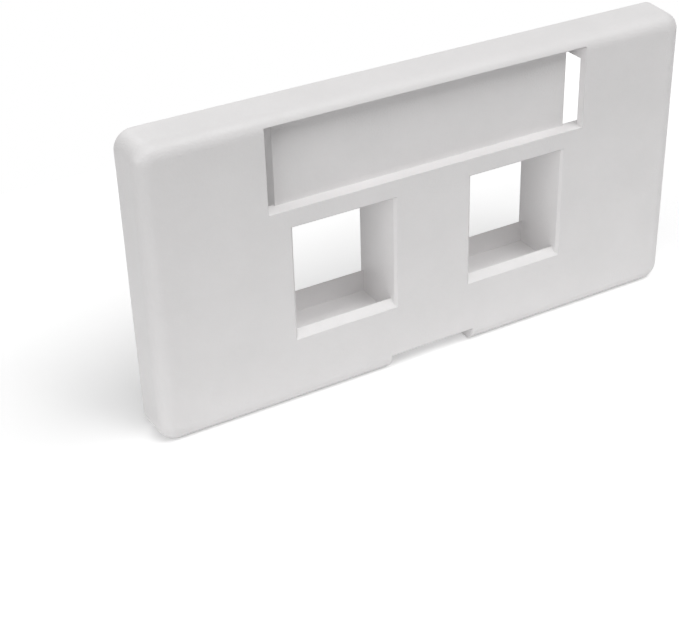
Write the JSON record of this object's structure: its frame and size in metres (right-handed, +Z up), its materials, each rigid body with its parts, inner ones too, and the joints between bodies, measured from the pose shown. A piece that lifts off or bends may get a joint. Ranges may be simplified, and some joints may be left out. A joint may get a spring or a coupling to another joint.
{
  "type": "keystone faceplate",
  "caption": "Moulded faceplate with keystone ports below a recessed label window, with snap latches at the rear for a furniture knockout.",
  "frame": {"origin": "middle of the bottom of the box, on the plate's long lower edge", "axes": "+X to the right seen from the front, +Y from the front face to the rear, +Z up"},
  "size_m": [0.0818, 0.011, 0.0423],
  "materials": {
    "plate_plastic": "smooth white moulded ABS, satin"
  },
  "bodies": {
    "root": {"faceplate": "plate_plastic"}
  },
  "joints": []
}
